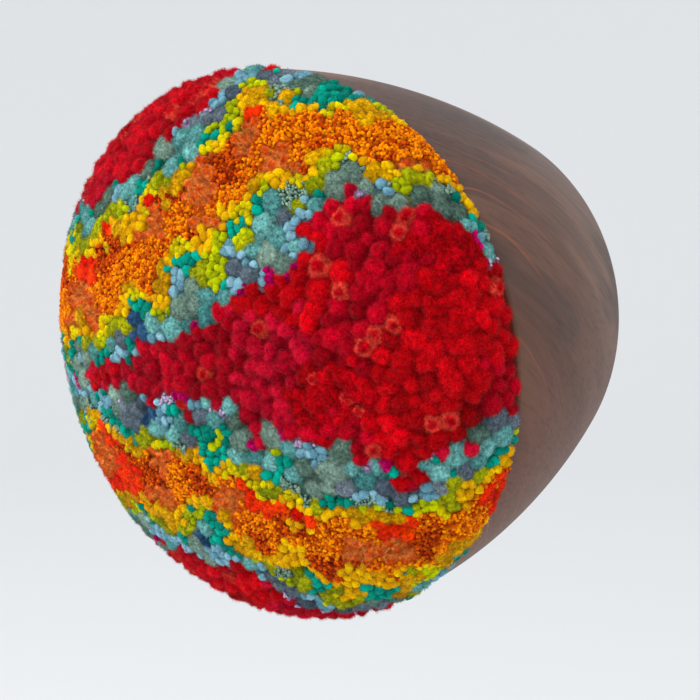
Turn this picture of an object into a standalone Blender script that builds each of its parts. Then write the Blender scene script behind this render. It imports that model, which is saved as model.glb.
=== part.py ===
"""A punch needle wall piece: a domed pad of looped yarn seated on the sloping
face of a tapered walnut body with a flat back.

The model is built with its own Z running from the back to the pad and its own Y
pointing up. The empty that carries both pieces turns that frame, so that the
back is the plane Y = 0, the piece points along -Y and +Z is up.
"""

import math
import random
from collections import namedtuple

import bmesh
import bpy
from mathutils import Matrix, Vector

# Driving dimensions, in metres
PAD_RADIUS = 0.0765
PAD_HEIGHT = 0.0315
BODY_DEPTH = 0.082
SEAT_GAP = 0.0003
RIM_SNAP = 0.0002

# The rim's centre sits a little left of and below the back's centre, and the
# rim's plane leans towards the floor.
RIM_SHIFT = Vector((-0.0038, -0.0036, 0.0))
FACE_TILT = math.radians(6.3)
FACE_TURN = math.radians(-1.0)

# The tufts of yarn: how many lie along one edge of the net that spreads them
# over the dome, how much the net is drawn in at the crown so that they are as
# far apart there as lower down, how deep the gaps between them are, and how
# uneven they stand.
TUFTS_PER_EDGE = 12
NET_DRAW_IN = 0.15
GAP_DEPTH = 0.0027
UNEVENNESS = 0.0010
DRIFT = 0.0005
TUFT_SEED = 7

# The body's profile: its radius at the back and at the rim, how strongly the
# side swells between them, and how far its two edges are rounded. The rim lies
# just inside the yarn.
BACK_RADIUS = 0.055
RIM_RADIUS = 0.074
SWELL = 1.7
BACK_EASE = 0.003
RIM_EASE = 0.001
SIDE_RINGS = 9
EASE_RINGS = 3
BODY_SIDES = 96
SHARP_EDGE = math.radians(50)

# A ring of the body. "along" is its share of the depth.
Ring = namedtuple("Ring", "along radius")


def clear_scene():
    for obj in list(bpy.data.objects):
        bpy.data.objects.remove(obj)


def surface(name, colour, roughness):
    """A plain material of one colour."""
    material = bpy.data.materials.new(name)
    material.use_nodes = True
    shader = material.node_tree.nodes["Principled BSDF"]
    shader.inputs["Base Color"].default_value = (*colour, 1.0)
    shader.inputs["Roughness"].default_value = roughness
    shader.inputs["Metallic"].default_value = 0.0
    return material


def add_piece(name, bm, material, carrier, placement):
    """Makes the object of one piece from its bmesh and sets it on its carrier."""
    mesh = bpy.data.meshes.new(name)
    bm.to_mesh(mesh)
    bm.free()
    mesh.shade_smooth()
    mesh.set_sharp_from_angle(angle=SHARP_EDGE)
    mesh.materials.append(material)
    piece = bpy.data.objects.new(name, mesh)
    bpy.context.scene.collection.objects.link(piece)
    piece.parent = carrier
    piece.matrix_local = placement
    return piece


def ring_frame(along):
    """Where the body's cross-section lies at a share of its depth."""
    turn = Matrix.Rotation(FACE_TURN * along, 4, "Y")
    tilt = Matrix.Rotation(FACE_TILT * along, 4, "X")
    centre = RIM_SHIFT * along + Vector((0.0, 0.0, BODY_DEPTH * along))
    return Matrix.Translation(centre) @ turn @ tilt


def side_radius(along):
    """The radius of the swelling side, which widens ever less towards the rim."""
    return RIM_RADIUS - (RIM_RADIUS - BACK_RADIUS) * (1.0 - along) ** SWELL


def body_rings():
    """The profile from the back to the rim: a rounded back edge, the swelling
    side and an eased front edge."""
    rings = []
    for step in range(EASE_RINGS):
        turn = math.pi / 2 * step / EASE_RINGS
        along = BACK_EASE * (1.0 - math.cos(turn)) / BODY_DEPTH
        rings.append(Ring(along, side_radius(along) - BACK_EASE * (1.0 - math.sin(turn))))
    first = BACK_EASE / BODY_DEPTH
    last = 1.0 - RIM_EASE / BODY_DEPTH
    for step in range(SIDE_RINGS):
        along = first + (last - first) * step / (SIDE_RINGS - 1)
        rings.append(Ring(along, side_radius(along)))
    for step in range(1, EASE_RINGS + 1):
        turn = math.pi / 2 * step / EASE_RINGS
        along = 1.0 - RIM_EASE * (1.0 - math.sin(turn)) / BODY_DEPTH
        rings.append(Ring(along, side_radius(along) - RIM_EASE * (1.0 - math.cos(turn))))
    return rings


def walnut_body(material, carrier):
    """The tapered body: round rings bridged from the back to the rim."""
    bm = bmesh.new()
    below = None
    for ring in body_rings():
        made = bmesh.ops.create_circle(
            bm, segments=BODY_SIDES, radius=ring.radius, matrix=ring_frame(ring.along)
        )
        edges = list({edge for vert in made["verts"] for edge in vert.link_edges})
        if below is None:
            bmesh.ops.contextual_create(bm, geom=edges)
        else:
            bmesh.ops.bridge_loops(bm, edges=below + edges)
        below = edges
    bmesh.ops.contextual_create(bm, geom=below)
    bmesh.ops.recalc_face_normals(bm, faces=bm.faces)
    return add_piece("walnut_body", bm, material, carrier, Matrix.Identity(4))


def tuft_net():
    """A unit ball whose vertices are spread evenly: the tufts' crowns and, half
    way between them, the gaps. Returns the bmesh and the set of crowns."""
    bm = bmesh.new()
    bmesh.ops.create_icosphere(bm, subdivisions=1, radius=1.0)
    bmesh.ops.subdivide_edges(
        bm, edges=bm.edges, cuts=TUFTS_PER_EDGE - 1, use_grid_fill=True
    )
    crowns = set(bm.verts)
    bmesh.ops.subdivide_edges(bm, edges=bm.edges, cuts=1, use_grid_fill=True)
    for vert in bm.verts:
        vert.co.normalize()
    return bm, crowns


def on_dome(way):
    """The point of the dome that a direction from its centre leads to, and the
    dome's normal there."""
    polar = math.acos(max(-1.0, min(1.0, way.z)))
    steepness = polar - NET_DRAW_IN * math.sin(2.0 * polar)
    heading = Vector((way.x, way.y, 0.0)).normalized()
    level = heading * math.sin(steepness)
    height = math.cos(steepness)
    point = level * PAD_RADIUS + Vector((0.0, 0.0, height * PAD_HEIGHT))
    normal = level / PAD_RADIUS + Vector((0.0, 0.0, height / PAD_HEIGHT))
    return point, normal.normalized()


def raise_tufts(bm, crowns):
    """Spreads the net over the dome, with its crowns raised above the gaps."""
    dice = random.Random(TUFT_SEED)
    for vert in bm.verts:
        point, normal = on_dome(vert.co)
        drift = Vector([dice.uniform(-DRIFT, DRIFT) for _ in range(3)])
        drift -= normal * drift.dot(normal)
        sunk = dice.uniform(0.0, UNEVENNESS)
        if vert not in crowns:
            sunk += GAP_DEPTH
        vert.co = point + drift - normal * sunk


def punch_needle_pad(material, carrier):
    """The domed pad: the upper half of the lumpy ball, closed by a flat back
    that stands a hair off the body's face."""
    bm, crowns = tuft_net()
    raise_tufts(bm, crowns)
    bmesh.ops.bisect_plane(
        bm,
        geom=bm.verts[:] + bm.edges[:] + bm.faces[:],
        dist=RIM_SNAP,
        plane_co=(0.0, 0.0, 0.0),
        plane_no=(0.0, 0.0, 1.0),
        clear_inner=True,
    )
    rim = [edge for edge in bm.edges if edge.is_boundary]
    bmesh.ops.contextual_create(bm, geom=rim)
    bmesh.ops.recalc_face_normals(bm, faces=bm.faces)
    seat = ring_frame(1.0) @ Matrix.Translation((0.0, 0.0, SEAT_GAP))
    return add_piece("punch_needle_pad", bm, material, carrier, seat)


def main():
    clear_scene()
    carrier = bpy.data.objects.new("wall_piece", None)
    bpy.context.scene.collection.objects.link(carrier)
    carrier.rotation_euler = (math.radians(90), 0.0, 0.0)
    walnut = surface("oiled walnut", (0.115, 0.062, 0.042), 0.5)
    yarn = surface("wool yarn", (0.55, 0.02, 0.03), 0.95)
    walnut_body(walnut, carrier)
    punch_needle_pad(yarn, carrier)


main()
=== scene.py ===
import math
from collections import namedtuple

import bmesh
import bpy
import numpy as np
from mathutils import Matrix, Vector, kdtree, noise


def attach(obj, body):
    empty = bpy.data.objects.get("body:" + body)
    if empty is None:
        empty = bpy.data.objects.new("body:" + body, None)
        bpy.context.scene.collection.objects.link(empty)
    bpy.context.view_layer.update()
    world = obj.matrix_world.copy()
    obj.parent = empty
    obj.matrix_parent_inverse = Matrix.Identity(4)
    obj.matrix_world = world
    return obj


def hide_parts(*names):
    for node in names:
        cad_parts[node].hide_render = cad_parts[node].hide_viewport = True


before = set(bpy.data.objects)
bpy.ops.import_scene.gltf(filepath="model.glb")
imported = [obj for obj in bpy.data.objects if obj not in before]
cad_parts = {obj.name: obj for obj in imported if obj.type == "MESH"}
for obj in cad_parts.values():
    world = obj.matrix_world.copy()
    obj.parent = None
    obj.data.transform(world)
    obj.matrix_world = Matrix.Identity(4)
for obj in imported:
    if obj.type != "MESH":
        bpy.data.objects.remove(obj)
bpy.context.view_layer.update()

DICE = np.random.default_rng(11)
MM = 0.001

# The body and its rim, in metres. The rim's frame has its own Z out of the pad.
BODY_DEPTH = 82.0 * MM
RIM_SHIFT = Vector((-3.8 * MM, -3.6 * MM, 0.0))
FACE_TILT = math.radians(6.3)
FACE_TURN = math.radians(-1.0)
PIECE_TURN = Matrix.Rotation(math.radians(90), 4, "X")

# The dome that the tips of the pile reach. The draw-in moves its points towards
# its crown, so that they lie evenly on it.
PILE_RADIUS = 75.2 * MM
PILE_RISE = 30.8 * MM
NET_DRAW_IN = 0.15
SEAT_GAP = 0.3 * MM

# The body's profile: its radius at the back and at the rim, how strongly the
# side swells between them, and how far its two edges are rounded.
BACK_RADIUS = 55.0 * MM
RIM_RADIUS = 74.0 * MM
SWELL = 1.7
BACK_EASE = 3.0 * MM
RIM_EASE = 1.0 * MM
SIDE_RINGS = 36
EASE_RINGS = 6
BODY_SIDES = 240

# A ring of the body. "along" is its share of the depth.
Ring = namedtuple("Ring", "along radius")


def linear(colour):
    """A colour given as red, green and blue up to 255, as the shader's light values."""
    share = np.asarray(colour, float) / 255.0
    return np.where(share <= 0.04045, share / 12.92, ((share + 0.055) / 1.055) ** 2.4)


def rgba(colour):
    return (*linear(colour), 1.0)


def column(rows, name):
    """One named value of every row, as an array."""
    return np.array([getattr(row, name) for row in rows])


class Wire:
    """An output of a finish's nodes. Sums on it add the nodes that work them out."""

    def __init__(self, finish, socket):
        self.finish = finish
        self.socket = socket

    def sum(self, operation, *values):
        made = self.finish.node("ShaderNodeMath", {"operation": operation}, dict(enumerate(values)))
        return made.out()

    def __add__(self, other):
        return self.sum("ADD", self, other)

    __radd__ = __add__

    def __sub__(self, other):
        return self.sum("SUBTRACT", self, other)

    def __rsub__(self, other):
        return self.sum("SUBTRACT", other, self)

    def __mul__(self, other):
        return self.sum("MULTIPLY", self, other)

    __rmul__ = __mul__

    def fract(self):
        return self.sum("FRACT", self)

    def span(self, low, high):
        """0 up to low and 1 from high on, with a soft rise between."""
        made = self.finish.node(
            "ShaderNodeMapRange",
            {"interpolation_type": "SMOOTHSTEP"},
            {"Value": self, "From Min": low, "From Max": high},
        )
        return made.out()


class Made:
    """A node that was added, with its outputs as wires."""

    def __init__(self, finish, node):
        self.finish = finish
        self.node = node

    def out(self, name=0):
        return Wire(self.finish, self.node.outputs[name])


class Finish:
    """A material on one Principled shader."""

    def __init__(self, name, **steady):
        self.material = bpy.data.materials.new(name)
        self.material.use_nodes = True
        self.tree = self.material.node_tree
        self.shader = self.tree.nodes["Principled BSDF"]
        for socket, value in steady.items():
            self.shader.inputs[socket.replace("_", " ")].default_value = value

    def node(self, kind, settings, sockets):
        made = self.tree.nodes.new(kind)
        for name, value in settings.items():
            if name == "stops":
                self.set_stops(made.color_ramp, value)
            else:
                setattr(made, name, value)
        for name, value in sockets.items():
            self.feed(made.inputs[name], value)
        return Made(self, made)

    def set_stops(self, ramp, stops):
        while len(ramp.elements) < len(stops):
            ramp.elements.new(0.5)
        for element, (place, colour) in zip(ramp.elements, stops):
            element.position = place
            element.color = rgba(colour)

    def feed(self, socket, value):
        if isinstance(value, Wire):
            self.tree.links.new(value.socket, socket)
        else:
            socket.default_value = value

    def surface(self, **wires):
        for socket, wire in wires.items():
            self.feed(self.shader.inputs[socket.replace("_", " ")], wire)

    def place(self):
        return self.node("ShaderNodeTexCoord", {}, {}).out("Object")

    def attribute(self, name):
        return self.node("ShaderNodeAttribute", {"attribute_name": name}, {}).out("Color")

    def along(self, place, axis):
        settings = {"operation": "DOT_PRODUCT"}
        return self.node("ShaderNodeVectorMath", settings, {0: place, 1: tuple(axis)}).out("Value")

    def point(self, x, y, z):
        return self.node("ShaderNodeCombineXYZ", {}, {"X": x, "Y": y, "Z": z}).out()

    def grain(self, place, scale, detail=2.0, roughness=0.5):
        sockets = {"Vector": place, "Scale": scale, "Detail": detail, "Roughness": roughness}
        return self.node("ShaderNodeTexNoise", {}, sockets).out("Fac")

    def blend(self, share, first, second):
        settings = {"data_type": "RGBA"}
        return self.node("ShaderNodeMix", settings, {0: share, 6: first, 7: second}).out(2)

    def ramp(self, share, *stops):
        return self.node("ShaderNodeValToRGB", {"stops": stops}, {"Fac": share}).out("Color")

    def bump(self, height, strength, distance):
        sockets = {"Height": height, "Strength": strength, "Distance": distance}
        return self.node("ShaderNodeBump", {}, sockets).out("Normal")


# Finishes

RINGS_PER_METRE = 130.0


def walnut():
    """Satin walnut whose figure slopes from the rim's top down to the back."""
    finish = Finish("satin walnut", IOR=1.45, Specular_IOR_Level=0.34)
    fibre = Vector((0.06, 0.87, -0.49)).normalized()
    across = fibre.cross(Vector((1.0, 0.0, 0.2))).normalized()
    through = fibre.cross(across)
    place = finish.place()
    run = finish.along(place, fibre)
    side = finish.along(place, across)
    deep = finish.along(place, through)

    # The growth rings lie round a heart that runs nearly along the fibre. Each
    # ends in a thin warm line, which shows in places only.
    sway = finish.grain(finish.point(run * 0.35, side, deep), 22.0, 2.0) - 0.5
    heart = finish.node(
        "ShaderNodeVectorMath",
        {"operation": "LENGTH"},
        {0: finish.point(0.0, side + 0.030, deep + 0.020 + run * 0.16)},
    ).out("Value")
    growth = heart + sway * 0.030
    rings = (growth * RINGS_PER_METRE).fract()
    line = rings.span(0.91, 0.98) * (1.0 - rings.span(0.98, 1.0))
    shown = finish.grain(finish.point(run * 0.4, side, deep), 30.0, 1.0).span(0.42, 0.62)
    fine = finish.grain(finish.point(run * 0.06, side, deep), 800.0, 3.0, 0.6)
    band = finish.grain(finish.point(growth, run * 0.05, 0.3), 110.0, 3.0, 0.55)
    smoke = finish.grain(finish.point(run * 0.22, side, deep), 75.0, 2.0, 0.5)

    colour = finish.ramp(
        band,
        (0.32, (60, 38, 29)),
        (0.44, (85, 54, 41)),
        (0.56, (101, 67, 50)),
        (0.70, (121, 83, 64)),
    )
    # Painted sheen makes the upper back paler, painted shade makes the lower side warmer and
    # darker, and the body is darker at the rim
    forward = finish.along(place, (0.0, -1.0, 0.0))
    near_rim = forward.span(0.030, 0.076)
    painted_sheen_back = 1.0 - forward.span(0.006, 0.052)
    low = finish.along(place, (0.0, 0.0, -1.0)).span(-0.020, 0.050)
    # Painted sheen: the upper back blended towards a pale grey brown
    colour = finish.blend(painted_sheen_back * (1.0 - low) * 0.50, colour, rgba((134, 107, 93)))
    colour = finish.blend(smoke.span(0.47, 0.62) * 0.58, colour, rgba((58, 42, 37)))
    # Painted shade: the lower side blended towards a darker, warmer brown
    colour = finish.blend(low * 0.80, colour, rgba((98, 54, 32)))
    colour = finish.blend(near_rim * 0.22, colour, rgba((84, 45, 30)))
    colour = finish.blend(line * shown * near_rim * 0.62, colour, rgba((168, 84, 44)))
    colour = finish.blend(fine.span(0.52, 0.75) * 0.45, colour, rgba((60, 38, 30)))
    pore = finish.grain(finish.point(run * 0.10, side, deep), 2400.0, 1.0)
    height = pore.span(0.35, 0.6) + line * -0.3
    finish.surface(
        Base_Color=colour,
        Roughness=0.42 + fine * 0.20,
        Normal=finish.bump(height, 0.25, 0.0001),
    )
    return finish.material


def wool(name, hair, mottle, bump):
    """Yarn that carries its dye as an attribute. hair is the width of its fibres'
    streaks and mottle how far they lighten and darken the dye."""
    finish = Finish(
        name,
        Roughness=1.0,
        Sheen_Weight=0.05,
        Sheen_Roughness=0.4,
        Specular_IOR_Level=0.02,
    )
    dye = finish.attribute("dye")
    place = finish.place()
    streak = finish.grain(place, 1.0 / hair, 3.0, 0.65)
    patch = finish.grain(place, 0.30 / hair, 2.0, 0.5)
    light = 1.0 + (streak - 0.5) * (2.6 * mottle) + (patch - 0.5) * (1.8 * mottle)
    tone = finish.point(light, light, light)
    settings = {"operation": "MULTIPLY"}
    colour = finish.node("ShaderNodeVectorMath", settings, {0: dye, 1: tone}).out("Vector")
    finish.surface(Base_Color=colour, Normal=finish.bump(streak + patch, 0.7, bump))
    return finish.material


def thread():
    """Twisted thread with a narrow metal strip in it, whose pale flecks are partly the strip's
    colour and partly a painted glint.
    """
    finish = Finish("glinting thread", Metallic=0.20, Roughness=0.36)
    dye = finish.attribute("dye")
    glint = finish.grain(finish.place(), 2200.0, 2.0)
    # Pale flecks: partly the metal strip's own colour, partly a painted glint
    colour = finish.blend(glint.span(0.62, 0.72), dye, rgba((196, 212, 200)))
    finish.surface(Base_Color=colour, Normal=finish.bump(glint, 0.7, 0.0002))
    return finish.material


# The turned body


def body_frame(along):
    """Where the body's cross-section lies at a share of its depth."""
    turn = Matrix.Rotation(FACE_TURN * along, 4, "Y")
    tilt = Matrix.Rotation(FACE_TILT * along, 4, "X")
    centre = RIM_SHIFT * along + Vector((0.0, 0.0, BODY_DEPTH * along))
    return PIECE_TURN @ Matrix.Translation(centre) @ turn @ tilt


def side_radius(along):
    """The radius of the swelling side, which widens ever less towards the rim."""
    return RIM_RADIUS - (RIM_RADIUS - BACK_RADIUS) * (1.0 - along) ** SWELL


def body_rings():
    """The profile from the back to the rim: a rounded back edge, the swelling
    side and an eased front edge."""
    rings = []
    for step in range(EASE_RINGS):
        turn = math.pi / 2 * step / EASE_RINGS
        along = BACK_EASE * (1.0 - math.cos(turn)) / BODY_DEPTH
        rings.append(Ring(along, side_radius(along) - BACK_EASE * (1.0 - math.sin(turn))))
    first = BACK_EASE / BODY_DEPTH
    last = 1.0 - RIM_EASE / BODY_DEPTH
    for step in range(SIDE_RINGS):
        along = first + (last - first) * step / (SIDE_RINGS - 1)
        rings.append(Ring(along, side_radius(along)))
    for step in range(1, EASE_RINGS + 1):
        turn = math.pi / 2 * step / EASE_RINGS
        along = 1.0 - RIM_EASE * (1.0 - math.sin(turn)) / BODY_DEPTH
        rings.append(Ring(along, side_radius(along) - RIM_EASE * (1.0 - math.cos(turn))))
    return rings


def turned_body():
    bm = bmesh.new()
    below = None
    for ring in body_rings():
        made = bmesh.ops.create_circle(
            bm, segments=BODY_SIDES, radius=ring.radius, matrix=body_frame(ring.along)
        )
        edges = list({edge for vert in made["verts"] for edge in vert.link_edges})
        if below is None:
            bmesh.ops.contextual_create(bm, geom=edges)
        else:
            bmesh.ops.bridge_loops(bm, edges=below + edges)
        below = edges
    bmesh.ops.contextual_create(bm, geom=below)
    bmesh.ops.recalc_face_normals(bm, faces=bm.faces)
    mesh = bpy.data.meshes.new("turned_walnut")
    bm.to_mesh(mesh)
    bm.free()
    mesh.shade_smooth()
    mesh.set_sharp_from_angle(angle=math.radians(40))
    mesh.materials.append(walnut())
    piece = bpy.data.objects.new("turned_walnut", mesh)
    bpy.context.scene.collection.objects.link(piece)
    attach(piece, "root")
    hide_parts("walnut_body")


# The dome's surface

RIM = np.array(body_frame(1.0) @ Matrix.Translation((0.0, 0.0, SEAT_GAP)))


def to_piece(points):
    """Points of the rim's frame in the frame of the whole piece."""
    return points @ RIM[:3, :3].T + RIM[:3, 3]


def unit(vectors):
    return vectors / np.maximum(np.linalg.norm(vectors, axis=-1, keepdims=True), 1e-12)


def on_dome(ways):
    """The dome's points and normals that directions from its centre lead to."""
    polar = np.arccos(np.clip(ways[:, 2], -1.0, 1.0))
    steepness = polar - NET_DRAW_IN * np.sin(2.0 * polar)
    heading = unit(ways[:, :2])
    level = heading * np.sin(steepness)[:, None]
    height = np.cos(steepness)
    points = np.column_stack([level * PILE_RADIUS, height * PILE_RISE])
    normals = unit(np.column_stack([level / PILE_RADIUS, height / PILE_RISE]))
    return points, normals


def chart(ways):
    """The dome laid out flat: 0 at its crown and 1 at its rim."""
    polar = np.arccos(np.clip(ways[:, 2], -1.0, 1.0))
    return unit(ways[:, :2]) * (polar / (math.pi / 2))[:, None]


def frames_for(normals, lean):
    """A turned and leaning set of axes on each normal."""
    count = len(normals)
    up = unit(normals + DICE.normal(0.0, lean, (count, 3)))
    aside = unit(np.cross(up, DICE.normal(0.0, 1.0, (count, 3))))
    return np.stack([aside, np.cross(up, aside), up], axis=2)


def ragged(points, size, amount, seed):
    """Smooth unevenness over the dome, from -amount to amount."""
    shift = Vector((seed * 7.3, seed * 3.1, seed * 1.7))
    return np.array([noise.noise(Vector(p) / size + shift) for p in points]) * amount


def nearest_of(places, points, count):
    """Which places lie nearest to each point, the nearest first."""
    tree = kdtree.KDTree(len(places))
    for i, place in enumerate(places):
        tree.insert(place, i)
    tree.balance()
    return np.array([[index for _, index, _ in tree.find_n(point, count)] for point in points])


# The pattern: two wandering ribbons on a red ground. A ribbon's middle lies at a
# height, slopes, and swings in waves. It is laid in rows from its middle
# outwards. A row's edge is a share of the ribbon's half width, and its patches
# are the stretches that keep to one yarn. A yarn's share is how often its row
# takes it, and its size the radius of its tufts in millimetres.
Ribbon = namedtuple("Ribbon", "height slope swing waves phase width")
RIBBONS = (
    Ribbon(height=0.47, slope=0.24, swing=0.15, waves=3.4, phase=0.4, width=0.28),
    Ribbon(height=-0.46, slope=0.14, swing=0.17, waves=3.1, phase=2.9, width=0.27),
)
Row = namedtuple("Row", "name edge patch")
ROWS = (
    Row("ember", 0.29, 6.0 * MM),
    Row("sun", 0.46, 6.5 * MM),
    Row("leaf", 0.66, 4.5 * MM),
    Row("sea", 0.93, 6.0 * MM),
    Row("edging", 1.02, 3.0 * MM),
    Row("ground", 99.0, 17.0 * MM),
)

Yarn = namedtuple("Yarn", "name row share kind size light deep")
YARNS = (
    Yarn("scarlet", "ground", 42, "wool", 2.9, (212, 0, 16), (152, 0, 6)),
    Yarn("crimson", "ground", 32, "wool", 2.7, (198, 0, 32), (138, 0, 14)),
    Yarn("cherry", "ground", 14, "wool", 2.5, (206, 10, 48), (150, 0, 24)),
    Yarn("ruby", "ground", 12, "plush", 2.0, (184, 0, 16), (146, 0, 8)),
    Yarn("amber", "ember", 44, "boucle", 0.54, (255, 156, 0), (176, 44, 0)),
    Yarn("rust", "ember", 20, "boucle", 0.54, (226, 92, 0), (124, 16, 0)),
    Yarn("brick", "ember", 18, "felt", 2.1, (228, 128, 56), (184, 62, 4)),
    Yarn("vermilion", "ember", 18, "plush", 1.9, (240, 64, 0), (200, 10, 0)),
    Yarn("gold", "sun", 38, "bead", 1.60, (232, 188, 0), (200, 140, 0)),
    Yarn("mustard", "sun", 26, "plush", 1.9, (214, 164, 0), (172, 122, 0)),
    Yarn("lemon", "sun", 36, "bead", 1.30, (218, 202, 0), (178, 158, 0)),
    Yarn("lime", "leaf", 30, "bead", 1.30, (188, 196, 0), (142, 154, 0)),
    Yarn("olive", "leaf", 18, "plush", 1.8, (172, 172, 6), (118, 126, 6)),
    Yarn("teal", "leaf", 38, "bead", 1.55, (0, 166, 142), (0, 108, 94)),
    Yarn("frost", "leaf", 14, "glint", 0.55, (120, 154, 132), (66, 100, 86)),
    Yarn("sky", "sea", 24, "bead", 1.60, (134, 180, 196), (88, 138, 156)),
    Yarn("aqua", "sea", 24, "velvet", 3.3, (112, 174, 170), (64, 124, 122)),
    Yarn("sage", "sea", 18, "velvet", 3.4, (126, 152, 138), (76, 102, 90)),
    Yarn("slate", "sea", 14, "velvet", 3.2, (114, 126, 136), (66, 80, 92)),
    Yarn("jade", "sea", 16, "bead", 1.5, (0, 148, 126), (0, 96, 84)),
    Yarn("navy", "sea", 4, "velvet", 2.6, (48, 88, 124), (30, 58, 90)),
    Yarn("hem sky", "edging", 26, "bead", 1.45, (134, 180, 196), (88, 138, 156)),
    Yarn("hem teal", "edging", 20, "bead", 1.40, (0, 166, 142), (0, 108, 94)),
    Yarn("hem aqua", "edging", 18, "velvet", 2.6, (118, 180, 176), (78, 142, 140)),
    Yarn("lilac", "edging", 14, "glint", 0.60, (184, 166, 194), (128, 112, 146)),
    Yarn("magenta", "edging", 12, "boucle", 0.75, (204, 0, 102), (146, 0, 72)),
    Yarn("hem wool", "edging", 10, "wool", 2.2, (202, 10, 48), (146, 0, 24)),
)

# Single coral tufts stand in the ground. Its left side is made rosier by painted light, as though
# lit from the left.
CORAL = Yarn("coral", "ground", 0, "curl", 3.0, (214, 62, 48), (168, 0, 14))
CORAL_SHARE = 0.06
LEFT_LIGHT_ROSE = (198, 30, 62)
LEFT_LIGHT_SHARE = 0.40

# How many places are tried for the tufts and for each row's patches, how far
# tufts vary in size, and how far above the rim they keep, in their own radii.
TUFT_TRIES = 100000
PATCH_TRIES = 2500
SIZE_SPREAD = (0.76, 1.20)
RIM_ROOM = 0.55


def reach_in_ribbon(spots):
    """How far across its nearest ribbon each spot of the chart is: 0 in the
    ribbon's middle, 1 at its edge."""
    nearest = np.full(len(spots), 9.0)
    for ribbon in RIBBONS:
        wave = spots[:, 0] * ribbon.waves + ribbon.phase
        middle = ribbon.height + ribbon.slope * spots[:, 0] + ribbon.swing * np.sin(wave)
        lean = ribbon.slope + ribbon.swing * ribbon.waves * np.cos(wave)
        away = np.abs(spots[:, 1] - middle) / np.sqrt(1.0 + lean**2)
        swell = 1.0 + 0.18 * np.sin(spots[:, 0] * 6.0 + ribbon.phase * 2.0)
        nearest = np.minimum(nearest, away / (ribbon.width * swell))
    return nearest


def rows_of(ways, points):
    """The number of the row that each point lies in."""
    reach = reach_in_ribbon(chart(ways))
    reach += ragged(points, 12.0 * MM, 0.40, 1) + ragged(points, 4.5 * MM, 0.18, 2)
    return np.searchsorted(column(ROWS, "edge"), reach)


def spread(points, elbows):
    """Picks points in their order so that none crowds one picked before it. A
    point's elbow room is half of its least distance to one like it."""
    kept = []
    places = np.empty((len(points), 3))
    sizes = np.empty(len(points))
    for i, (point, elbow) in enumerate(zip(points, elbows)):
        n = len(kept)
        near = ((places[:n] - point) ** 2).sum(axis=1)
        if (near < (sizes[:n] + elbow) ** 2).any():
            continue
        places[n] = point
        sizes[n] = elbow
        kept.append(i)
    return np.array(kept)


def random_ways(count):
    """Directions spread over the dome, from its crown to just above its rim."""
    turn = DICE.uniform(0.0, 2.0 * math.pi, count)
    level = DICE.uniform(0.0, 1.0, count)
    flat = np.sqrt(1.0 - level**2)
    return np.column_stack([flat * np.cos(turn), flat * np.sin(turn), level])


def yarns_of(points, rows):
    """The yarn of each point: that of the nearest patch in its row."""
    chosen = np.empty(len(points), int)
    for number, row in enumerate(ROWS):
        mine = np.flatnonzero(rows == number)
        seeds, _ = on_dome(random_ways(PATCH_TRIES))
        seeds = seeds[spread(seeds, np.full(len(seeds), row.patch / 2))]
        choices = [i for i, yarn in enumerate(YARNS) if yarn.row == row.name]
        shares = np.array([YARNS[i].share for i in choices], float)
        picks = DICE.choice(choices, len(seeds), p=shares / shares.sum())
        wobble = DICE.normal(0.0, row.patch * 0.10, (len(mine), 3))
        chosen[mine] = picks[nearest_of(seeds, points[mine] + wobble, 1)[:, 0]]
    return chosen


# Soft tufts merge into one relief. A crown's depth is how far it has fallen at
# its radius, on a curve of its power. Packing is how close such crowns may be
# planted, in radii. Squeeze is the narrowest that one may be against its length,
# rough its unevenness, stand how unevenly such crowns stand beside each other,
# and rim how much lighter its edge is.
Crown = namedtuple("Crown", "depth power packing squeeze rough stand rim")
CROWNS = {
    "wool": Crown(1.8 * MM, 2.1, 0.72, 0.68, 0.45 * MM, 0.28 * MM, 0.0),
    "curl": Crown(1.8 * MM, 2.4, 0.74, 0.90, 0.35 * MM, 0.28 * MM, 1.0),
    "felt": Crown(1.9 * MM, 2.3, 0.76, 0.85, 0.28 * MM, 0.28 * MM, 0.9),
    "velvet": Crown(1.7 * MM, 2.5, 0.74, 0.78, 0.22 * MM, 0.28 * MM, 0.0),
    "plush": Crown(0.5 * MM, 3.6, 0.72, 0.85, 0.22 * MM, 0.10 * MM, 0.0),
}

# Firm tufts stand apart: how finely one is made, how lumpy, how tall and long against its width,
# how far it leans, how close it is packed, how deep the ground between lies, and how much of the
# dye's light the ground keeps, darkened there as painted shade.
Knob = namedtuple("Knob", "cuts lumps tall long lean packing sink shade finish")
KNOBS = {
    "bead": Knob(
        2, 0.34, 0.92, 1.45, 0.28, 0.66, 1.5 * MM, 0.55,
        wool("looped cotton", 0.45 * MM, 0.55, 0.35 * MM),
    ),
    "boucle": Knob(
        1, 0.55, 1.15, 1.90, 0.70, 0.60, 0.8 * MM, 0.85,
        wool("boucle yarn", 0.40 * MM, 0.60, 0.2 * MM),
    ),
    "glint": Knob(1, 0.35, 0.95, 2.00, 0.80, 0.60, 0.9 * MM, 0.70, thread()),
}
PACKING = {name: kind.packing for name, kind in (*CROWNS.items(), *KNOBS.items())}
VARIANTS = 24
BELOW_HEART = -0.45

Tuft = namedtuple("Tuft", "point normal yarn radius")


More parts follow.
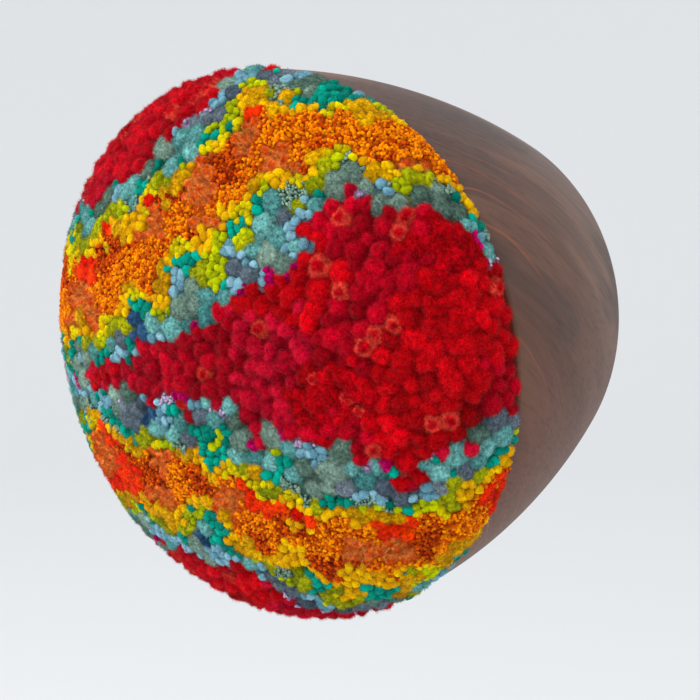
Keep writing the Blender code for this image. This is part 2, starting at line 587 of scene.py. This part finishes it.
def plant_tufts():
    """Chooses a place for every tuft, the widest first."""
    ways = random_ways(TUFT_TRIES)
    points, normals = on_dome(ways)
    chosen = yarns_of(points, rows_of(ways, points))
    sizes = (column(YARNS, "size") * MM)[chosen]
    packing = np.array([PACKING[yarn.kind] for yarn in YARNS])[chosen]
    radii = sizes * DICE.uniform(*SIZE_SPREAD, len(sizes))
    order = np.argsort(-sizes, kind="stable")
    order = order[points[order, 2] > RIM_ROOM * radii[order]]
    kept = order[spread(points[order], (packing * radii)[order])]
    tufts = [Tuft(points[i], normals[i], YARNS[chosen[i]], radii[i]) for i in kept]
    coral = DICE.uniform(size=len(tufts)) < CORAL_SHARE
    return [
        tuft._replace(yarn=CORAL) if swap and tuft.yarn.row == "ground" else tuft
        for tuft, swap in zip(tufts, coral)
    ]


def dyes_between(tufts, shares, picks=slice(None)):
    """Colours at a share of the way from the deep to the light shade of the tufts,
    or of those picked from them."""
    light = np.array([linear(tuft.yarn.light) for tuft in tufts])[picks]
    deep = np.array([linear(tuft.yarn.deep) for tuft in tufts])[picks]
    return deep + (light - deep) * shares[..., None]


def joined(name, verts, faces, dye, finish):
    """One mesh of many small shapes, with its dye as an attribute."""
    mesh = bpy.data.meshes.new(name)
    mesh.from_pydata(to_piece(verts).tolist(), [], faces)
    mesh.shade_smooth()
    return dyed_piece(name, mesh, dye, finish)


def dyed_piece(name, mesh, dye, finish):
    # This colour attribute holds the yarn's colour with painted shade and highlights in it
    layer = mesh.attributes.new("dye", "FLOAT_COLOR", "POINT")
    layer.data.foreach_set("color", np.column_stack([dye, np.ones(len(dye))]).ravel())
    mesh.materials.append(finish)
    piece = bpy.data.objects.new(name, mesh)
    bpy.context.scene.collection.objects.link(piece)
    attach(piece, "root")
    return piece


# The soft relief. Each point looks at the crowns nearest to it. They merge into
# each other, their colours fray and blend where they meet, and a warp bends
# their outlines.
NEIGHBOURS = 6
STAND_LIMITS = (-2.1, 1.1)
MERGE = 0.30 * MM
FRAY = 0.07 * MM
BLEND = 0.13 * MM
WARP = 0.9 * MM
WARP_SIZE = 3.0 * MM
WARP_SEEDS = (13, 14, 16)

# Painted shade and highlight: how much of its light the dye keeps in a trough, darkened as shade,
# and on a crown, lightened as a highlight
PAINTED_TROUGH_SHADE = 0.73
PAINTED_CROWN_HIGHLIGHT = 1.05

# The light edge of a curled tuft: where on its radius it starts and how wide it is
EDGE_START = 0.40
EDGE_WIDTH = 0.35

# The ground round firm tufts: how many of their radii it reaches, how far its dye
# is from their deep to their light shade, and how softly it meets the crowns.
# Deepest is the most that a trough between crowns may sink.
GROUND_REACH = 2.2
GROUND_SHARE = 0.2
GROUND_BLEND = 0.5 * MM
DEEPEST = 2.6 * MM

# How strong the light and dark specks in the dye are
WOOLLY_SPECKLE = 0.13
SPECKLE = 0.22
SPECKLE_LIMIT = 2.5

# Points of the unit ball as low as this lie on its rim.
RIM_LEVEL = 0.0001

Relief = namedtuple("Relief", "verts normals dyes kinds")


def half_ball(name):
    """The upper half of a fine ball of unit radius, closed by a face at its rim."""
    bm = bmesh.new()
    bmesh.ops.create_icosphere(bm, subdivisions=8, radius=1.0)
    bmesh.ops.bisect_plane(
        bm,
        geom=bm.verts[:] + bm.edges[:] + bm.faces[:],
        dist=RIM_LEVEL,
        plane_co=(0.0, 0.0, 0.0),
        plane_no=(0.0, 0.0, 1.0),
        clear_inner=True,
    )
    rim = [edge for edge in bm.edges if edge.is_boundary]
    bmesh.ops.contextual_create(bm, geom=rim)
    bmesh.ops.recalc_face_normals(bm, faces=bm.faces)
    mesh = bpy.data.meshes.new(name)
    bm.to_mesh(mesh)
    bm.free()
    return mesh


def crowns_at(points, crowns):
    """The height of the merged crowns at each point, the crowns near it, how far
    out on each of them it lies, and how much of each one's colour it takes."""
    kinds = [CROWNS[tuft.yarn.kind] for tuft in crowns]
    warp = [ragged(points, WARP_SIZE, WARP, seed) for seed in WARP_SEEDS]
    warped = points + np.column_stack(warp)
    centres = column(crowns, "point")
    near = nearest_of(centres, warped, NEIGHBOURS)
    asides = frames_for(column(crowns, "normal"), 0.0)[:, :, 0]
    squeeze = DICE.uniform(column(kinds, "squeeze"), 1.0)
    stand = np.clip(DICE.normal(0.0, 1.0, len(crowns)), *STAND_LIMITS)
    tops = stand * column(kinds, "stand")

    apart = warped[:, None, :] - centres[near]
    along = (apart * asides[near]).sum(axis=2)
    away = (apart**2).sum(axis=2) - (1.0 - squeeze[near] ** 2) * along**2
    out = np.sqrt(np.maximum(away, 0.0)) / column(crowns, "radius")[near]
    fallen = column(kinds, "depth")[near] * out ** column(kinds, "power")[near]
    heights = tops[near] - fallen
    merged = MERGE * np.log(np.maximum(np.exp(heights / MERGE).sum(axis=1), 1e-30))
    frayed = heights + DICE.normal(0.0, FRAY, heights.shape)
    pull = np.exp((frayed - frayed.max(axis=1, keepdims=True)) / BLEND)
    return merged, near, out, pull / pull.sum(axis=1, keepdims=True)


def crown_dyes(crowns, near, out, pull):
    """The merged crowns' colours. Each crown has its own shade, but a curled one
    goes from deep to light across its edge."""
    edge = column([CROWNS[tuft.yarn.kind] for tuft in crowns], "rim")[near]
    share = DICE.beta(1.3, 1.3, len(crowns))[near]
    share = share * (1.0 - edge) + edge * np.clip((out - EDGE_START) / EDGE_WIDTH, 0.0, 1.0)
    return (dyes_between(crowns, share, near) * pull[..., None]).sum(axis=1)


def ground_at(points, knobs):
    """The low ground round the firm tufts: its height and colour at each point, the colour darkened
    by painted shade, and whether the point is close enough to such a tuft to have it."""
    firm = nearest_of(column(knobs, "point"), points, 1)[:, 0]
    kinds = [KNOBS[tuft.yarn.kind] for tuft in knobs]
    away = np.linalg.norm(points - column(knobs, "point")[firm], axis=1)
    close = away < column(knobs, "radius")[firm] * GROUND_REACH
    height = -column(kinds, "sink")[firm] + ragged(points, 1.0 * MM, 0.25 * MM, 7)
    dye = dyes_between(knobs, np.full(len(firm), GROUND_SHARE), firm)
    # Painted shade: the ground's colour darkened by each kind's shade
    return height, dye * column(kinds, "shade")[firm][:, None], close


def soft_pile(tufts):
    """The stuffed pad's face: soft tufts merged into one relief, with low ground
    where the firm tufts stand."""
    mesh = half_ball("soft_pile")
    ways = np.array([vert.co for vert in mesh.vertices])
    on_rim = np.abs(ways[:, 2]) < RIM_LEVEL
    points, normals = on_dome(unit(ways))
    crowns = [tuft for tuft in tufts if tuft.yarn.kind in CROWNS]
    knobs = [tuft for tuft in tufts if tuft.yarn.kind in KNOBS]
    height, near, out, pull = crowns_at(points, crowns)
    owner = near[np.arange(len(points)), pull.argmax(axis=1)]
    names = np.array([tuft.yarn.kind for tuft in crowns], dtype=object)[owner]
    kinds = [CROWNS[tuft.yarn.kind] for tuft in crowns]
    depth = column(kinds, "depth")[owner]
    rough = column(kinds, "rough")[owner]
    woolly = names == "wool"

    dye = crown_dyes(crowns, near, out, pull)
    # Painted light: the red wool tinted rosier towards the left
    painted_left_light = np.clip(-points[:, 0] / PILE_RADIUS, 0.0, 1.0) * woolly * LEFT_LIGHT_SHARE
    dye += (linear(LEFT_LIGHT_ROSE) - dye) * painted_left_light[:, None]
    # Painted shade in the troughs and a painted highlight on the crowns
    raised = np.clip(1.0 + height / depth, 0.0, 1.0)
    dye *= (PAINTED_TROUGH_SHADE + (PAINTED_CROWN_HIGHLIGHT - PAINTED_TROUGH_SHADE) * raised)[:, None]
    height += ragged(points, 1.5 * MM, 1.0, 5) * rough + ragged(points, 0.8 * MM, 0.5, 6) * rough

    ground, under, close = ground_at(points, knobs)
    cover = np.clip((ground - height) / GROUND_BLEND + 0.5, 0.0, 1.0) * close
    bare = cover > 0.5
    height = np.where(bare, ground, np.maximum(height, -DEEPEST))
    dye += (under - dye) * cover[:, None]
    speckle = np.where(woolly, WOOLLY_SPECKLE, SPECKLE)[:, None]
    specks = np.clip(DICE.normal(0.0, 1.0, (len(dye), 1)), -SPECKLE_LIMIT, SPECKLE_LIMIT)
    dye *= 1.0 + specks * speckle

    sunk = points + normals * height[:, None]
    sunk[on_rim, 2] = 0.0
    mesh.vertices.foreach_set("co", to_piece(sunk).ravel())
    mesh.update()
    mesh.shade_smooth()
    mesh.set_sharp_from_angle(angle=math.radians(80))
    piece = dyed_piece("soft_pile", mesh, dye, wool("soft wool pile", 0.45 * MM, 0.80, 0.4 * MM))
    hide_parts("punch_needle_pad")
    turned = np.array([vert.normal for vert in mesh.vertices]) @ RIM[:3, :3]
    names[bare | on_rim] = "ground"
    return Relief(sunk, turned, dye, names)


# The firm tufts


def knob(cuts, lumps, seed):
    """A rounded lump of unit size: a cube's grid blown out to a ball, made
    uneven, with its hidden foot cut flat."""
    bm = bmesh.new()
    bmesh.ops.create_cube(bm, size=2.0)
    bmesh.ops.subdivide_edges(bm, edges=bm.edges, cuts=cuts, use_grid_fill=True)
    shift = Vector((seed * 5.1, seed * 2.3, 0.0))
    for vert in bm.verts:
        way = vert.co.normalized()
        uneven = noise.noise(way * 1.3 + shift) + 0.6 * noise.noise(way * 3.1 + shift)
        vert.co = way * (1.0 + lumps * uneven)
    cut = bmesh.ops.bisect_plane(
        bm,
        geom=bm.verts[:] + bm.edges[:] + bm.faces[:],
        plane_co=(0.0, 0.0, BELOW_HEART),
        plane_no=(0.0, 0.0, 1.0),
        clear_inner=True,
    )
    foot = [item for item in cut["geom_cut"] if isinstance(item, bmesh.types.BMEdge)]
    bmesh.ops.contextual_create(bm, geom=foot)
    bmesh.ops.recalc_face_normals(bm, faces=bm.faces)
    bm.verts.index_update()
    verts = np.array([vert.co for vert in bm.verts])
    faces = [[vert.index for vert in face.verts] for face in bm.faces]
    bm.free()
    return verts, faces


def knob_piece(kind_name, tufts):
    """All the tufts of one firm kind."""
    kind = KNOBS[kind_name]
    count = len(tufts)
    normals = column(tufts, "normal")
    radii = column(tufts, "radius")
    tips = column(tufts, "point")
    axes = frames_for(normals, kind.lean)
    stretch = np.column_stack(
        [
            DICE.uniform(1.0, kind.long, count),
            DICE.uniform(0.85, 1.05, count),
            DICE.uniform(0.88, 1.12, count) * kind.tall,
        ]
    ) * radii[:, None]
    centres = tips - normals * (stretch[:, 2] * DICE.uniform(0.85, 1.10, count))[:, None]
    dyes = dyes_between(tufts, DICE.beta(0.9, 0.9, count))
    shapes = [knob(kind.cuts, kind.lumps, seed) for seed in range(VARIANTS)]
    all_verts = []
    all_faces = []
    all_dyes = []
    start = 0
    for i in range(count):
        verts, faces = shapes[i % VARIANTS]
        placed = (verts * stretch[i]) @ axes[i].T + centres[i]
        placed[:, 2] = np.maximum(placed[:, 2], 0.0)
        height = ((placed - centres[i]) @ normals[i]) / stretch[i, 2]
        # Painted shade towards the foot and a painted highlight towards the tip of each knob
        shade = np.clip(0.77 + 0.34 * height, 0.58, 1.12)
        all_verts.append(placed)
        all_faces += [[start + corner for corner in face] for face in faces]
        all_dyes.append(dyes[i] * shade[:, None])
        start += len(verts)
    name = kind_name + "_tufts"
    joined(name, np.concatenate(all_verts), all_faces, np.concatenate(all_dyes), kind.finish)


# Loose fibres: how many a piece has, how long and wide one is, and how far they spray. The last
# three values hold for all: how much of a fibre is rooted in its tuft, how far below the rim one
# may reach, and how much painted highlight it adds to its dye.
Fibre = namedtuple("Fibre", "count length width spray")
FIBRES = {
    "wool_fuzz": Fibre(130000, 0.90 * MM, 0.10 * MM, 0.60),
    "velvet_nap": Fibre(120000, 0.60 * MM, 0.13 * MM, 0.35),
    "bead_halo": Fibre(150000, 0.60 * MM, 0.10 * MM, 0.80),
    "boucle_halo": Fibre(50000, 0.40 * MM, 0.08 * MM, 0.60),
}
SHAGGY = ("wool", "curl")
NAPPED = ("velvet", "felt", "plush")
FUZZ = wool("loose fibres", 0.6 * MM, 0.2, 0.1 * MM)
ROOTED = 0.25
FIBRE_DIP = 0.5 * MM
FIBRE_PAINTED_HIGHLIGHT = 0.012

Roots = namedtuple("Roots", "places ways dyes")


def roots_on_pile(relief, kinds, count):
    """Random places on the relief's tufts of the kinds given."""
    picks = DICE.choice(np.flatnonzero(np.isin(relief.kinds.astype(str), kinds)), count)
    places = relief.verts[picks] + DICE.normal(0.0, 0.18 * MM, (count, 3))
    return Roots(places, relief.normals[picks], relief.dyes[picks])


def roots_on_knobs(tufts, count):
    """Random places on the upper sides of the firm tufts."""
    radii = column(tufts, "radius")
    owner = DICE.choice(len(tufts), count, p=radii**2 / (radii**2).sum())
    normals = column(tufts, "normal")[owner]
    level = DICE.uniform(0.1, 1.0, count)
    aside = frames_for(normals, 0.0)[:, :, 0] * np.sqrt(1.0 - level**2)[:, None]
    ways = aside + normals * level[:, None]
    heart = column(tufts, "point")[owner] - normals * radii[owner, None]
    dyes = dyes_between(tufts, DICE.uniform(0.3, 1.0, count), owner)
    return Roots(heart + ways * radii[owner, None], ways, dyes)


def fibre_piece(name, roots):
    """Short pointed fibres that stand out of the yarn."""
    fibre = FIBRES[name]
    count = fibre.count
    out = unit(roots.ways + DICE.normal(0.0, fibre.spray, (count, 3)))
    reach = (fibre.length * DICE.uniform(0.4, 1.4, count))[:, None]
    side = unit(np.cross(out, DICE.normal(0.0, 1.0, (count, 3)))) * (fibre.width / 2)
    feet = roots.places - out * reach * ROOTED
    verts = np.stack([feet - side, feet + side, feet + out * reach], 1).reshape(-1, 3)
    verts[:, 2] = np.maximum(verts[:, 2], -FIBRE_DIP)
    faces = np.arange(count * 3).reshape(-1, 3).tolist()
    # A painted highlight lightens every fibre
    dyes = roots.dyes * DICE.uniform(0.60, 1.60, (count, 1)) + FIBRE_PAINTED_HIGHLIGHT
    joined(name, verts, faces, np.repeat(dyes, 3, axis=0), FUZZ)


# Stage

FLOOR_LEVEL = -0.42
FLOOR_REACH = 2.2
FLOOR_SIDES = 96
SWEEP = 1.2
SWEEP_STEPS = 12
LIT_PLACE = Vector((0.0, -0.06, 0.0))


def stage_floor():
    """A round floor whose edge sweeps up far behind the piece."""
    bm = bmesh.new()
    profile = [bm.verts.new((out, 0.0, FLOOR_LEVEL)) for out in (0.0, FLOOR_REACH)]
    for step in range(1, SWEEP_STEPS + 1):
        turn = math.pi / 2 * step / SWEEP_STEPS
        out = FLOOR_REACH + SWEEP * math.sin(turn)
        profile.append(bm.verts.new((out, 0.0, FLOOR_LEVEL + SWEEP * (1.0 - math.cos(turn)))))
    edges = [bm.edges.new(pair) for pair in zip(profile, profile[1:])]
    bmesh.ops.spin(
        bm,
        geom=profile + edges,
        axis=(0.0, 0.0, 1.0),
        cent=(0.0, 0.0, 0.0),
        angle=2.0 * math.pi,
        steps=FLOOR_SIDES,
        use_merge=True,
    )
    bmesh.ops.remove_doubles(bm, verts=bm.verts, dist=0.001)
    bmesh.ops.recalc_face_normals(bm, faces=bm.faces)
    if bm.faces[0].normal.z < 0.0:
        bmesh.ops.reverse_faces(bm, faces=bm.faces)
    mesh = bpy.data.meshes.new("floor")
    bm.to_mesh(mesh)
    bm.free()
    mesh.shade_smooth()
    finish = Finish("pale floor", Roughness=0.9, Base_Color=(0.82, 0.83, 0.84, 1.0))
    mesh.materials.append(finish.material)
    floor = bpy.data.objects.new("floor", mesh)
    bpy.context.scene.collection.objects.link(floor)


def soft_light(name, place, size, watts, colour):
    lamp = bpy.data.lights.new(name, "AREA")
    lamp.size = size
    lamp.energy = watts
    lamp.color = colour
    light = bpy.data.objects.new(name, lamp)
    bpy.context.scene.collection.objects.link(light)
    light.location = place
    light.rotation_mode = "QUATERNION"
    light.rotation_quaternion = (LIT_PLACE - Vector(place)).to_track_quat("-Z", "Y")


def studio():
    stage_floor()
    soft_light("window", (-0.75, -1.05, 1.05), size=0.9, watts=16.5, colour=(1.0, 0.99, 0.97))
    soft_light("fill", (1.1, -0.9, 0.35), size=1.1, watts=2.5, colour=(0.95, 0.98, 1.0))
    world = bpy.data.worlds.new("pale room")
    world.use_nodes = True
    backdrop = world.node_tree.nodes["Background"]
    backdrop.inputs["Color"].default_value = (0.88, 0.90, 0.92, 1.0)
    backdrop.inputs["Strength"].default_value = 1.0
    bpy.context.scene.world = world
    bpy.context.scene.view_settings.view_transform = "Standard"


# The camera stands in front, to the right and a little above.
CAMERA_PLACE = (0.3290, -0.5320, 0.0598)
CAMERA_VIEW = Vector((-0.5645, 0.8175, -0.1144))
CAMERA_LENS = 108.0


def camera():
    data = bpy.data.cameras.new("camera")
    data.lens = CAMERA_LENS
    data.sensor_width = 36.0
    data.clip_start = 0.01
    data.clip_end = 50.0
    view = bpy.data.objects.new("camera", data)
    bpy.context.scene.collection.objects.link(view)
    view.location = CAMERA_PLACE
    view.rotation_mode = "QUATERNION"
    view.rotation_quaternion = CAMERA_VIEW.to_track_quat("-Z", "Y")
    bpy.context.scene.camera = view


camera()
studio()
turned_body()
TUFTS = plant_tufts()
PILE = soft_pile(TUFTS)
FIRM = {kind: [tuft for tuft in TUFTS if tuft.yarn.kind == kind] for kind in KNOBS}
for kind, firm_tufts in FIRM.items():
    knob_piece(kind, firm_tufts)
fibre_piece("wool_fuzz", roots_on_pile(PILE, SHAGGY, FIBRES["wool_fuzz"].count))
fibre_piece("velvet_nap", roots_on_pile(PILE, NAPPED, FIBRES["velvet_nap"].count))
fibre_piece("bead_halo", roots_on_knobs(FIRM["bead"], FIBRES["bead_halo"].count))
fibre_piece("boucle_halo", roots_on_knobs(FIRM["boucle"], FIBRES["boucle_halo"].count))
